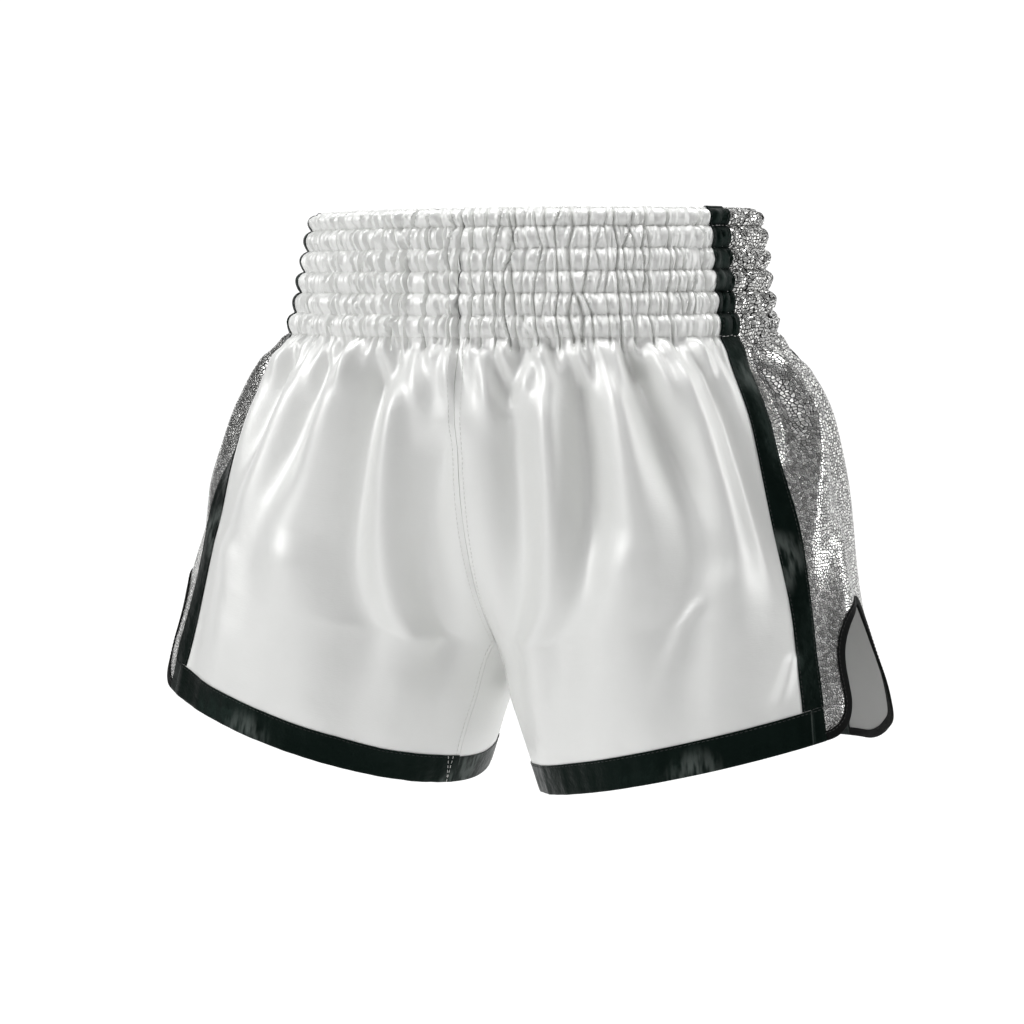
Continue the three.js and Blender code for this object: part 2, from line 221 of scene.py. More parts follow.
def crease_relief(girth, depth):
    total = np.zeros_like(girth)
    upper = np.flatnonzero(depth.ravel() < CREASE_FOOT)
    girths, depths, heights = girth.ravel()[upper], depth.ravel()[upper], np.zeros(len(upper))
    order = np.argsort(girths)
    sorted_girths = girths[order]
    for crease in CREASES:
        ends = crease["place"] + np.array([-1, 1]) * (4 * crease["wide"] + 0.004)
        near = order[slice(*np.searchsorted(sorted_girths, ends))]
        line = crease["place"] + np.interp(depths[near], CHANNEL_ENDS, crease["wobble"])
        away = np.abs(girths[near] - line) / crease["wide"]
        run = ease(depths[near], crease["top"] - 0.002, crease["top"] + 0.002)
        run = run * (1 - ease(depths[near], crease["foot"] - 0.004, crease["foot"] + 0.003))
        heights[near] += crease["deep"] * run * (0.35 * np.exp(-((away - 2) ** 2)) - np.exp(-(away**2)))
    total.ravel()[upper] = heights
    return total


def waistband_relief(girth, depth):
    t, channel = channel_place(depth)
    arch = np.sin(np.pi * np.clip(t, 0, 1) ** 0.85) ** 0.85
    plump = 1 + 0.20 * ripple(11, girth / 0.016, channel * 0.8)
    puff = ROW_HEIGHT * ease(depth, 0, 0.002) + PUFF * arch * plump
    gathers = 0.0004 * ripple(12, girth / 0.0042, channel * 0.9 + t * 0.25, waves=14) * (1 - 0.4 * arch)
    loose = 1 - 0.75 * near_trim(girth)
    return puff + loose * (gathers + crease_relief(girth, depth) * (0.55 + 0.45 * arch))


# %% Flutes below the waistband, and drapes on the legs
# Each fold runs down through two or three places, as (girth, depth) in metres, with its half width at both
# ends and its height. A negative height is a valley.
FRONT_FOLDS = [
    # the wearer's right leg, from the side to the middle
    ([(-0.137, 0.080), (-0.150, 0.190)], 0.008, 0.014, 0.0060),
    ([(-0.118, 0.082), (-0.134, 0.170)], 0.006, 0.010, -0.0050),
    ([(-0.100, 0.080), (-0.126, 0.230)], 0.007, 0.016, 0.0070),
    ([(-0.084, 0.082), (-0.096, 0.180)], 0.006, 0.012, -0.0065),
    ([(-0.060, 0.080), (-0.072, 0.130), (-0.108, 0.280)], 0.008, 0.022, 0.0095),
    ([(-0.043, 0.080), (-0.058, 0.235)], 0.006, 0.013, -0.0095),
    ([(-0.028, 0.090), (-0.045, 0.240), (-0.038, 0.300)], 0.006, 0.014, 0.0080),
    ([(-0.004, 0.125), (-0.033, 0.265)], 0.008, 0.014, -0.0085),
    ([(-0.016, 0.078), (-0.020, 0.128)], 0.004, 0.006, 0.0045),
    # the wearer's left leg, from the middle to the side
    ([(0.011, 0.079), (0.020, 0.128)], 0.004, 0.006, 0.0045),
    ([(0.045, 0.079), (0.023, 0.130)], 0.004, 0.006, 0.0040),
    ([(0.027, 0.085), (0.026, 0.235)], 0.006, 0.010, -0.0085),
    ([(0.044, 0.090), (0.049, 0.228), (0.028, 0.310)], 0.006, 0.014, 0.0090),
    ([(0.062, 0.085), (0.061, 0.232)], 0.006, 0.012, -0.0095),
    ([(0.077, 0.082), (0.088, 0.210), (0.092, 0.290)], 0.006, 0.020, 0.0095),
    ([(0.090, 0.080), (0.111, 0.185)], 0.005, 0.012, -0.0085),
    ([(0.105, 0.079), (0.112, 0.125)], 0.005, 0.007, 0.0050),
    ([(0.118, 0.090), (0.129, 0.215)], 0.006, 0.013, 0.0085),
    ([(0.134, 0.090), (0.149, 0.245)], 0.006, 0.011, -0.0070),
    ([(0.075, 0.190), (0.070, 0.330)], 0.012, 0.022, 0.0045),
    ([(0.125, 0.210), (0.118, 0.335)], 0.012, 0.020, 0.0040),
    ([(-0.085, 0.200), (-0.080, 0.330)], 0.014, 0.022, 0.0050),
    ([(-0.135, 0.210), (-0.128, 0.330)], 0.010, 0.018, 0.0040),
    ([(0.115, 0.232), (0.098, 0.282)], 0.003, 0.005, 0.0022),
    ([(0.154, 0.276), (0.143, 0.310)], 0.003, 0.004, 0.0020),
]
SIDE_FOLDS = [
    ([(0.186, 0.080), (0.188, 0.130), (0.167, 0.225)], 0.007, 0.012, 0.0090),
    ([(0.172, 0.085), (0.174, 0.175)], 0.006, 0.009, -0.0060),
    ([(0.201, 0.085), (0.201, 0.190)], 0.006, 0.010, -0.0050),
    ([(0.190, 0.200), (0.184, 0.300)], 0.006, 0.010, 0.0040),
    ([(0.216, 0.085), (0.212, 0.235)], 0.008, 0.014, 0.0065),
]


def make_back_folds():
    rng = np.random.default_rng(21)
    folds = []
    for side in (1, -1):
        place, up = 0.235, True
        while place < HALF_GIRTH - 0.01:
            foot = place + rng.uniform(-0.008, 0.016)
            length = rng.uniform(0.09, 0.21)
            height = rng.uniform(0.0055, 0.0090) * (1 if up else -0.9)
            folds.append(([(side * place, 0.078), (side * foot, 0.078 + length)], 0.006, 0.014, height))
            place, up = place + rng.uniform(0.014, 0.021), not up
    return folds


def mirrored(folds):
    return [([(-girth, depth) for girth, depth in places], *rest) for places, *rest in folds]


FOLDS = FRONT_FOLDS + SIDE_FOLDS + mirrored(SIDE_FOLDS) + make_back_folds()


def fold_relief(girth, depth):
    total = np.zeros_like(girth)
    for places, wide_top, wide_foot, height in FOLDS:
        girths, depths = zip(*places)
        t = (depth - depths[0]) / (depths[-1] - depths[0])
        line = np.interp(depth, depths, girths)
        wide = mix(wide_top, wide_foot, np.clip(t, 0, 1))
        run = ease(t, -0.02, 0.16) * (1 - ease(t, 0.55, 1.25))
        total += height * run * np.exp(-(((girth - line) / wide) ** 2))
    return total


def short_pleats(girth, depth):
    """Small pleats that the last row of stitching throws, about as long as a finger is wide."""
    drop = depth - WAISTBAND
    fade = ease(drop, 0.0, 0.006) * (1 - ease(drop, 0.012, 0.048))
    lean = girth * (1 - 0.9 * np.clip(drop, 0, 0.06))
    return 0.0022 * fade * ripple(31, lean / 0.017, depth / 0.09) * (1 - near_trim(girth))


def draw_relief(girth, depth):
    """Height of the cloth's middle over the body surface, from all the folds."""
    share = np.abs(girth) / HALF_GIRTH
    in_band = depth < WAISTBAND
    band = waistband_relief(girth, np.clip(depth, 0, WAISTBAND))
    drop = depth - WAISTBAND
    puff_out = ROW_HEIGHT + 0.0024 * ease(drop, 0, 0.012) * (1 - ease(drop, 0.02, 0.10))
    carried = crease_relief(girth, depth) * (1 - ease(drop, 0, 0.012)) * (1 - near_trim(girth))
    soft = 0.0011 * ripple(41, girth / 0.055, depth / 0.30) * ease(drop, 0, 0.03)
    free = puff_out + carried + soft + fold_relief(girth, depth) + short_pleats(girth, depth)
    height = np.where(in_band, band, free)
    from_back_seam = (share - 1) * HALF_GIRTH
    seam_dip = 0.0004 * np.exp(-((girth / 0.0022) ** 2)) + 0.0005 * np.exp(-((from_back_seam / 0.0022) ** 2))
    at_gusset = ease(depth, FORK - 0.03, FORK) * (1 - ease(np.minimum(share, 1 - share), 0, 0.07))
    near_hem = ease(depth, HEM - 0.03, HEM - 0.005)
    pucker = 0.0003 * near_hem * ripple(51, girth / 0.013)
    return (height - seam_dip) * (1 - at_gusset) * (1 - 0.75 * near_hem) + pucker


# %% One relief map for all pieces
MAP_STEP = 0.00025
MAP_GIRTHS = np.arange(-HALF_GIRTH - 0.004, HALF_GIRTH + 0.004, MAP_STEP)
MAP_DEPTHS = np.arange(0, HEM + 0.012, 2 * MAP_STEP)
RELIEF_MAP = draw_relief(*np.meshgrid(MAP_GIRTHS, MAP_DEPTHS))
print("relief from", RELIEF_MAP.min().round(4), "to", RELIEF_MAP.max().round(4), "metres")


def relief(side, share, depth):
    """The map's height at any place, between its four nearest values."""
    column = (side * share * HALF_GIRTH - MAP_GIRTHS[0]) / MAP_STEP
    row = np.clip(depth, 0, MAP_DEPTHS[-2]) / (2 * MAP_STEP)
    column, row = np.broadcast_arrays(column, row)
    c = np.clip(column.astype(int), 0, RELIEF_MAP.shape[1] - 2)
    r = np.clip(row.astype(int), 0, RELIEF_MAP.shape[0] - 2)
    u, v = column - c, row - r
    upper = mix(RELIEF_MAP[r, c], RELIEF_MAP[r, c + 1], u)
    lower = mix(RELIEF_MAP[r + 1, c], RELIEF_MAP[r + 1, c + 1], u)
    return mix(upper, lower, v)


def surface(side, share, depth):
    """The middle of the cloth. A depth under zero goes on over the fold at the waist's top edge."""
    side, share, depth = (np.asarray(a, float) for a in np.broadcast_arrays(side, share, depth))
    e, f = 1e-3, 5e-4
    d = np.maximum(depth, 0)
    across = body(share + e, d) - body(share - e, d)
    down = body(share, d + f) - body(share, d - f)
    normal = unit(np.cross(down, across))
    point = body(share, d) + normal * relief(side, share, d)[..., None]
    turn = np.clip(-depth / TOP_ROLL, 0, np.pi)[..., None]
    roll = TOP_ROLL * ((np.cos(turn) - 1) * normal + np.sin(turn) * np.array([0, 0, 1]))
    return (point + roll) * np.stack([side, np.ones_like(side), np.ones_like(side)], -1)


def middle_and_normal(side, share, depth):
    """Points on the cloth's middle and the directions straight out of it."""
    side, share, depth = np.broadcast_arrays(side, share, depth)
    e, f = 8e-4, 4e-4
    across = surface(side, share + e, depth) - surface(side, share - e, depth)
    down = surface(side, share, depth + f) - surface(side, share, depth - f)
    normal = unit(np.cross(down, across)) * side[..., None]
    return surface(side, share, depth), normal


def kept_apart(points, side):
    """No cloth of one half crosses the middle plane."""
    points = points.copy()
    side = np.broadcast_to(side, points.shape[:-1])
    points[..., 0] = np.maximum(points[..., 0] * side, GAP / 2) * side
    return points


def cloth(side, share, depth, *heights):
    """Points at each height over the cloth's middle."""
    middle, normal = middle_and_normal(side, share, depth)
    layers = [kept_apart(middle + normal * np.asarray(h, float)[..., None], side) for h in heights]
    return layers if len(layers) > 1 else layers[0]


def share_per_metre(share, depth):
    e = 1e-3
    return 2 * e / np.linalg.norm(body(share + e, depth) - body(share - e, depth), axis=-1)


def above_hem(share, rise):
    return HEM - rise / stretch_at(angle_at(share, HEM))


# %% [markdown]
# ## From grids to closed sheets
# A cloth piece is a grid of places. Its outer face lies half a cloth over the middle and its inner face half
# a cloth under it, and a wall joins them along every open edge. Building both faces from the same grid is
# tidier than a Solidify modifier, because the inner face can have its own finish. Each sheet also gets a UV
# map in metres of real cloth, which the weave and the foil's pattern follow.

# %% Sheet builder
def grid_faces(rows, columns):
    r, c = np.meshgrid(np.arange(rows - 1), np.arange(columns - 1), indexing="ij")
    a = (r * columns + c).ravel()
    return np.stack([a, a + columns, a + columns + 1, a + 1], -1)


def closed_sheet(name, outer, inner, uv, faces=None, materials=(), inner_slot=0):
    """A closed mesh from two grids of points, rows by columns, with the outer grid's UV in metres."""
    rows, columns = outer.shape[:2]
    faces = grid_faces(rows, columns) if faces is None else faces
    skin = rows * columns
    edges = np.stack([faces, np.roll(faces, -1, axis=1)], -1).reshape(-1, 2)
    codes, back = edges[:, 0] * skin + edges[:, 1], edges[:, 1] * skin + edges[:, 0]
    rim = edges[~np.isin(codes, back)]
    walls = np.stack([rim[:, 1], rim[:, 0], rim[:, 0] + skin, rim[:, 1] + skin], -1)
    quads = np.concatenate([faces, faces[:, ::-1] + skin, walls])
    points = np.concatenate([outer.reshape(-1, 3), inner.reshape(-1, 3)])
    spots = np.concatenate([uv.reshape(-1, 2)] * 2)
    used, quads_used = np.unique(quads, return_inverse=True)
    quads = quads_used.reshape(-1, 4)
    points, spots = points[used], spots[used]
    tri = points[quads[:, [0, 1, 2]]]
    other = points[quads[:, [0, 2, 3]]]
    volume = sum(np.einsum("ij,ij->", t[:, 0], np.cross(t[:, 1], t[:, 2])) for t in (tri, other))
    if volume < 0:
        quads = quads[:, ::-1]
    mesh = bpy.data.meshes.new(name)
    mesh.from_pydata(points.tolist(), [], quads.tolist())
    layer = mesh.uv_layers.new(name="cloth")
    layer.data.foreach_set("uv", spots[quads.ravel()].ravel())
    slots = np.zeros(len(quads), int)
    slots[len(faces) : 2 * len(faces)] = inner_slot
    for material in materials:
        mesh.materials.append(material)
    mesh.polygons.foreach_set("material_index", slots)
    mesh.shade_smooth()
    mesh.set_sharp_from_angle(angle=math.radians(50))
    mesh.update()
    piece = bpy.data.objects.new(name, mesh)
    bpy.context.scene.collection.objects.link(piece)
    return piece


def grid_area(points):
    """The area of a grid of points."""
    a, b = points[1:, 1:] - points[:-1, :-1], points[1:, :-1] - points[:-1, 1:]
    return float(np.linalg.norm(np.cross(a, b), axis=-1).sum() / 2)


def grid_uv(points):
    """Distances over the cloth, along the rows and down the columns, in metres."""
    right = np.linalg.norm(np.diff(points, axis=1), axis=-1)
    down = np.linalg.norm(np.diff(points, axis=0), axis=-1)
    u = np.concatenate([np.zeros((len(points), 1)), np.cumsum(right, 1)], 1)
    u -= u[:, u.shape[1] // 2, None]
    v = np.concatenate([np.zeros((1, points.shape[1])), np.cumsum(down, 0)], 0)
    return np.stack([u, -np.broadcast_to(v.mean(1, keepdims=True), u.shape)], -1)

# %% [markdown]
# ## Materials
# Satin is smooth, so its folds show as soft highlights and clear shadows. A fine bump for the weave keeps it
# from looking like plastic. The foil is a fabric with a cracked metallic film: bright flakes over a dark
# ground. Ribbon, binding and elastic are three blacks and whites that differ mostly in their gloss.

# %% Shader maths
class Socket:
    """A shader value that the usual operators build on, so that a formula reads like one."""

    def __init__(self, tree, value):
        self.tree, self.value = tree, value

    def math(self, operation, *others, clamp=False):
        node = self.tree.nodes.new("ShaderNodeMath")
        node.operation, node.use_clamp = operation, clamp
        for place, v in zip(node.inputs, (self, *others)):
            plug(self.tree, place, v)
        return Socket(self.tree, node.outputs[0])

    def __add__(self, other):
        return self.math("ADD", other)

    def __sub__(self, other):
        return self.math("SUBTRACT", other)

    def __rsub__(self, other):
        return self.math("MULTIPLY_ADD", -1.0, other)

    def __mul__(self, other):
        return self.math("MULTIPLY", other)

    __radd__, __rmul__ = __add__, __mul__

    def node(self, kind, settings=(), out=0, **inputs):
        """Any other node. Inputs are named with underscores for spaces."""
        node = self.tree.nodes.new(kind)
        for key, v in dict(settings).items():
            setattr(node, key, v)
        for key, v in inputs.items():
            plug(self.tree, node.inputs[key.replace("_", " ")], v)
        return Socket(self.tree, node.outputs[out])

    def with_second(self, value):
        """The same node with its second vector set."""
        self.value.node.inputs[1].default_value = value
        return self

    def ramp(self, low, high):
        """0 at low and 1 at high, smoothly between."""
        node = self.tree.nodes.new("ShaderNodeMapRange")
        node.interpolation_type = "SMOOTHSTEP"
        for place, v in zip(node.inputs, (self, low, high, 0.0, 1.0)):
            plug(self.tree, place, v)
        return Socket(self.tree, node.outputs[0])

    def color(self, low, high):
        """One colour at 0 and another at 1."""
        node = self.tree.nodes.new("ShaderNodeMix")
        node.data_type = "RGBA"
        plug(self.tree, node.inputs["Factor"], self)
        node.inputs["A"].default_value = (*low, 1)
        node.inputs["B"].default_value = (*high, 1)
        return Socket(self.tree, node.outputs["Result"])


def plug(tree, place, value):
    if isinstance(value, Socket):
        tree.links.new(value.value, place)
    else:
        place.default_value = value


def new_material(name, **constants):
    """A Principled material, its cloth coordinates in metres and the means to plug things into it."""
    material = bpy.data.materials.new(name)
    material.use_nodes = True
    tree = material.node_tree
    shader = tree.nodes["Principled BSDF"]
    for key, v in constants.items():
        place = shader.inputs[key.replace("_", " ")]
        place.default_value = (*v, 1) if isinstance(v, tuple) and len(place.default_value) == 4 else v
    uv = Socket(tree, tree.nodes.new("ShaderNodeUVMap").outputs[0])
    uv.value.node.uv_map = "cloth"

    def finish(**inputs):
        for key, v in inputs.items():
            plug(tree, shader.inputs[key.replace("_", " ")], v)

    return material, uv, finish


def noise(uv, scale, detail=2.0):
    return uv.node("ShaderNodeTexNoise", {"noise_dimensions": "2D"}, Vector=uv, Scale=scale, Detail=detail)


def weave(uv, threads_per_metre, across=True):
    """A fine rib, as a height from 0 to 1."""
    return uv.node(
        "ShaderNodeTexWave",
        {"wave_type": "BANDS", "bands_direction": "X" if across else "Y", "wave_profile": "SIN"},
        out="Fac",
        Vector=uv,
        Scale=threads_per_metre / 3.18,
        Distortion=0.0,
    )


def bump(height, metres, strength=1.0):
    return height.node("ShaderNodeBump", Height=height, Distance=metres, Strength=strength)


# %% White satin
def scaled(uv, across, down):
    """Cloth coordinates stretched in each direction, for a pattern that is longer one way."""
    product = uv.node("ShaderNodeVectorMath", {"operation": "MULTIPLY"}, Vector=uv)
    return product.with_second((across, down, 1.0))


def make_white_satin():
    material, uv, finish = new_material(
        "white satin", Base_Color=(0.86, 0.865, 0.85), Metallic=0.40, Specular_IOR_Level=0.5
    )
    tension = noise(uv, 70.0, 3.0)
    slubs = noise(scaled(uv, 0.12, 1.0), 1500.0, 2.0)
    finish(
        Roughness=tension * 0.12 + 0.46,
        Normal=bump(tension * 0.7 + slubs * 0.16, 0.0003),
    )
    return material


# %% Cracked silver foil
def make_silver_foil():
    material, uv, finish = new_material("cracked silver foil", Metallic=1.0)
    flat_noise = {"noise_dimensions": "2D"}
    drift = uv.node("ShaderNodeTexNoise", flat_noise, out=1, Vector=uv, Scale=380.0, Detail=1.0)
    bent = uv.node("ShaderNodeVectorMath", {"operation": "MULTIPLY_ADD"})
    node = bent.value.node
    plug(node.id_data, node.inputs[0], drift)
    node.inputs[1].default_value = (0.0008, 0.0008, 0.0)
    plug(node.id_data, node.inputs[2], uv)
    edge = uv.node(
        "ShaderNodeTexVoronoi",
        {"voronoi_dimensions": "2D", "feature": "DISTANCE_TO_EDGE"},
        Vector=bent,
        Scale=560.0,
        Randomness=0.9,
    )
    cell = uv.node(
        "ShaderNodeTexVoronoi",
        {"voronoi_dimensions": "2D", "feature": "F1"},
        out="Color",
        Vector=bent,
        Scale=560.0,
        Randomness=0.9,
    )
    tone = cell.node("ShaderNodeSeparateColor", Color=cell)
    flake = edge.ramp(0.06, 0.20)
    bright = tone.ramp(0.1, 0.9) * 0.5 + 0.5
    finish(
        Base_Color=(flake * bright).color((0.004, 0.004, 0.004), (1.0, 1.0, 0.98)),
        Roughness=0.5 - flake * 0.26,
        Normal=bump(flake * 0.8 + tone * 0.5, 0.0005, 0.7),
    )
    return material


# %% Grey knit, the foil fabric's wrong side
def make_knit_back():
    material, uv, finish = new_material(
        "grey knit backing", Base_Color=(0.34, 0.34, 0.335), Roughness=0.85, Sheen_Weight=0.2
    )
    loops = weave(uv, 1400) * 0.5 + weave(uv, 1400, across=False) * 0.5
    finish(Normal=bump(loops, 0.00015))
    return material


# %% Black satin ribbon, matt binding, elastic and threads
def make_black_satin():
    material, uv, finish = new_material(
        "black satin ribbon", Specular_IOR_Level=0.12,
        Specular_Tint=(0.6, 1.0, 0.85),
    )
    rib = weave(uv, 1500, across=False)
    dents = noise(uv, 160.0, 3.0)
    # The ribbon's own colour is near black. Lighter grey patches from two noises are mixed into it, and these
    # are painted highlights that stand in for the mottled reflections of light on the satin.
    painted_highlight_patches = noise(uv, 14.0, 0.0).ramp(0.54, 0.64) * noise(scaled(uv, 1.0, 0.25), 260.0, 2.0).ramp(0.30, 0.70)
    finish(
        Base_Color=painted_highlight_patches.color((0.0008, 0.0022, 0.0017), (0.075, 0.085, 0.080)),
        Roughness=dents * 0.2 + 0.26,
        Normal=bump(dents + rib * 0.10, 0.0006),
    )
    return material


def make_black_binding():
    material, uv, finish = new_material(
        "matt black binding", Base_Color=(0.002, 0.0024, 0.0024), Roughness=0.7, Specular_IOR_Level=0.1
    )
    finish(Normal=bump(weave(uv, 1700), 0.00015))
    return material


def make_elastic():
    material, uv, finish = new_material("ribbed elastic", Base_Color=(0.72, 0.72, 0.70), Roughness=0.8)
    finish(Normal=bump(weave(uv, 700, across=False), 0.0004))
    return material


WHITE_SATIN, SILVER_FOIL, KNIT_BACK = make_white_satin(), make_silver_foil(), make_knit_back()
BLACK_SATIN, BLACK_BINDING, ELASTIC = make_black_satin(), make_black_binding(), make_elastic()
WHITE_THREAD = new_material("white thread", Base_Color=(0.78, 0.78, 0.76), Roughness=0.5)[0]
BLACK_THREAD = new_material("black thread", Base_Color=(0.015, 0.017, 0.016), Roughness=0.55)[0]
print("materials:", ", ".join(m.name for m in bpy.data.materials if m.users or m.name.startswith("w")))

# %% [markdown]
# ## The panels
# Each leg has a front and a back panel of white satin and a narrow side panel of foil fabric. A real maker
# cuts them flat, sews them together and shirrs the top on to elastic, which is why the folds run on over the
# seams. All the panels go right up to the waist, where they turn over the edge to meet the facing inside.


def spread(start, end, steps):
    return np.linspace(start, end, steps + 1)


def body_rows():
    coarse = 1
    roll = -spread(np.pi * TOP_ROLL, 0, 6)[:-1]
    band = spread(0, WAISTBAND, 60 // coarse)
    free = spread(WAISTBAND, FORK, 64 // coarse)
    leg = spread(FORK, HEM, 34 // coarse)
    return np.concatenate([roll, band[:-1], free[:-1], leg])


ROWS = body_rows()
PANEL_COLUMNS = spread(0, SEAM_SHARE, 210)


def panel_spots(row):
    depth = max(row, 0)
    inset = GAP / 2 * share_per_metre(SEAM_SHARE / 2, depth)
    return np.clip(PANEL_COLUMNS, inset, SEAM_SHARE - inset)


FRONT_SHARES = np.array([panel_spots(row) for row in ROWS])
PANEL_DEPTHS = np.broadcast_to(ROWS[:, None], FRONT_SHARES.shape)
SIDES = {"left": 1, "right": -1}
SHIRRING_ALLOWANCE = 1.10  # cut area over the area of the smooth worn shape, for a piece shirred at the waist


def smooth_area(*names):
    """Area of packed cloth pieces without any fold: half of their skin, which has two faces."""
    return sum(face.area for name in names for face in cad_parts[name].data.polygons) / 2


def hang(piece, nodes):
    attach(piece, "root")
    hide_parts(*nodes)
    return piece


def cloth_piece(name, side, shares, depths, materials, inner_slot=0, faces=None, height=0.0, thick=CLOTH):
    outer, inner, middle = cloth(side, shares, depths, height + thick / 2, height - thick / 2, height)
    uv = grid_uv(middle)
    return closed_sheet(name, outer, inner, uv, faces, materials, inner_slot), outer


for side_name, side in SIDES.items():
    for part, shares in {"front": FRONT_SHARES, "back": 1 - FRONT_SHARES}.items():
        piece, points = cloth_piece(f"satin_{part}_{side_name}", side, shares, PANEL_DEPTHS, [WHITE_SATIN])
        flat = (0.270, 0.365)
        node = f"{part}_panel_{side_name}"
        area = smooth_area(node) * SHIRRING_ALLOWANCE
        hang(piece, [node])
        print(piece.name, "cut area", round(area, 4), "area as made", round(grid_area(points), 4))

# %% [markdown]
# ## The side panels and their vents
# A foil panel covers the hip from seam to seam and is cut open from the fork's level down, so the thigh can
# rise in a kick. The cut leaves two flaps with rounded corners. Here each flap is the same grid, pushed
# sideways by the width that was cut away at each level. Its inner face has the fabric's own grey knit
# backing.

# %% Side panels
VENT = {  # how far the vent is cut into a flap, its round corner and the bulge of its edge
    "front": {"cut": 0.043, "corner": 0.019, "roundness": 0.4},
    "back": {"cut": 0.024, "corner": 0.024, "roundness": 0.75},
}
VENT_TOP = 0.12  # share of the way from the fork's level to the hem


def on_flap(share, flap):
    return share if flap == "front" else 1 - share


def flap_spot(across, fall, flap):
    """A place on a flap. across runs from the seam to the vent, fall from the fork's level to the hem."""
    shape = VENT[flap]
    per_metre = share_per_metre(on_flap((SIDE_SHARE + SEAM_SHARE) / 2, flap), mix(FORK, HEM, fall))
    vented = np.clip((fall - VENT_TOP) / (1 - VENT_TOP), 0, 1)
    width = (SIDE_SHARE - SEAM_SHARE) / per_metre - shape["cut"] * vented ** shape["roundness"]
    into_corner = np.clip(1 - width * (1 - across) / shape["corner"], 0, 1)
    lift = shape["corner"] * (1 - np.sqrt(1 - into_corner**2))
    lowest = above_hem(on_flap(SIDE_SHARE, flap), lift)
    depth = mix(mix(FORK, HEM, np.minimum(fall, VENT_TOP)), lowest, vented)
    share = SEAM_SHARE + np.maximum(width * across, GAP / 2) * per_metre
    return on_flap(share, flap), depth


ACROSS = 1 - (1 - spread(0, 1, 40)) ** 1.3
VENT_FALLS = VENT_TOP + (1 - VENT_TOP) * spread(0, 1, 42) ** 1.6
FALLS = np.concatenate([spread(0, VENT_TOP, 4)[:-1], VENT_FALLS])


def side_panel_grid():
    above = ROWS[ROWS < FORK - 1e-6]
    inset = GAP / 2 * share_per_metre(SEAM_SHARE, np.maximum(above, 0))
    solid = np.maximum(mix(SEAM_SHARE, SIDE_SHARE, ACROSS), SEAM_SHARE + inset[:, None])
    shares, depths = [np.hstack([solid, 1 - solid[:, ::-1]])], [np.repeat(above[:, None], 2 * len(ACROSS), 1)]
    front = flap_spot(ACROSS, FALLS[:, None], "front")
    back = flap_spot(ACROSS, FALLS[:, None], "back")
    shares.append(np.hstack([front[0], back[0][:, ::-1]]))
    depths.append(np.hstack([front[1], back[1][:, ::-1]]))
    shares, depths = np.vstack(shares), np.vstack(depths)
    columns, edge = shares.shape[1], len(ACROSS) - 1
    ids = np.arange(shares.size).reshape(shares.shape)
    closed = len(above) + int(np.sum(FALLS <= VENT_TOP))
    ids[:closed, edge + 1] = ids[:closed, edge]
    corners = np.stack([ids[:-1, :-1], ids[1:, :-1], ids[1:, 1:], ids[:-1, 1:]], -1)
    keep = np.arange(columns - 1) != edge
    return shares, depths, corners[:, keep].reshape(-1, 4)


SIDE_GRID = side_panel_grid()


def flat_uv(shares, depths, middle):
    """Cloth coordinates in metres without the gathers, for a pattern that must not smear."""
    d = np.maximum(depths, 0)
    down = d + np.maximum(d - WAISTBAND, 0) * (stretch_at(angle_at(shares, d)) - 1)
    return np.stack([(shares - middle) / share_per_metre(middle, d), -down + np.minimum(depths, 0)], -1)


for side_name, side in SIDES.items():
    shares, depths, faces = SIDE_GRID
    outer, inner = cloth(side, shares, depths, CLOTH / 2, -CLOTH / 2)
    uv = flat_uv(shares, depths, SIDE_SHARE) + np.array([0.4 * side, 0])
    piece = closed_sheet(
        f"foil_side_{side_name}", outer, inner, uv, faces, [SILVER_FOIL, KNIT_BACK], inner_slot=1
    )
    node, flat = f"side_panel_{side_name}", (0.150, 0.315)
    area = smooth_area(node) * SHIRRING_ALLOWANCE
    hang(piece, [node])
    made = sum(face.area for face in piece.data.polygons) / 2
    print(piece.name, "cut area", round(area, 4), "area as made", round(made, 4))

# %% [markdown]
# ## The gusset
# A strip of satin runs from the inside of one hem over the fork to the other, so that the legs can spread
# without the centre seam pulling. It is built from the same sections: at every level it bridges the gap that
# the two half bodies leave between them.

# %% Crotch gusset
GUSSET_CROWN = 0.006
GUSSET_TURNS = spread(1 - GAP / (2 * GUSSET_HALF_WIDTH), GAP / (2 * GUSSET_HALF_WIDTH) - 1, 30)


def gusset_point(turn, fall):
    """turn runs from 1 at the front seam to -1 at the back seam."""

    def x_at(depth):
        return point_at_angle(mix(-np.pi / 2, start_angle(depth), turn), depth)[..., 0]

    meeting = crossing(x_at, np.full_like(turn, FORK), HEM)
    depth = mix(meeting, HEM, fall)
    point = point_at_angle(mix(-np.pi / 2, start_angle(depth), turn), depth)
    under = depth - meeting
    crown = GUSSET_CROWN * (1 - turn**2) * (1 - fall)
    point[..., 2] -= np.hypot(under, crown) - under
    return point


def gusset_grid():
    falls = spread(1, 0, 26)[:, None]
    turn, fall = np.broadcast_arrays(GUSSET_TURNS, falls)
    left = gusset_point(np.array(turn), np.array(fall))
    left[-1, :, 0] = 0
    right = left[:-1][::-1] * np.array([-1, 1, 1])
    points = np.concatenate([left, right])
    along, wide = np.gradient(points, axis=0), np.gradient(points, axis=1)
    return points, unit(np.cross(wide, along))


GUSSET, GUSSET_NORMALS = gusset_grid()
gusset = closed_sheet(
    "satin_gusset",
    GUSSET + GUSSET_NORMALS * CLOTH / 2,
    GUSSET - GUSSET_NORMALS * CLOTH / 2,
    grid_uv(GUSSET),
    materials=[WHITE_SATIN],
)
hang(gusset, ["crotch_gusset"])
print("gusset area", round(grid_area(GUSSET), 4))

# %% [markdown]
# ## Ribbons, hem bands and bindings
# The seams of the foil panel are covered by black satin ribbon, stitched down along both edges. The hems are
# bound by wider ribbon folded in half, and the vents by a narrow matt tape. A folded tape is one profile, a
# hairpin, swept along an edge.

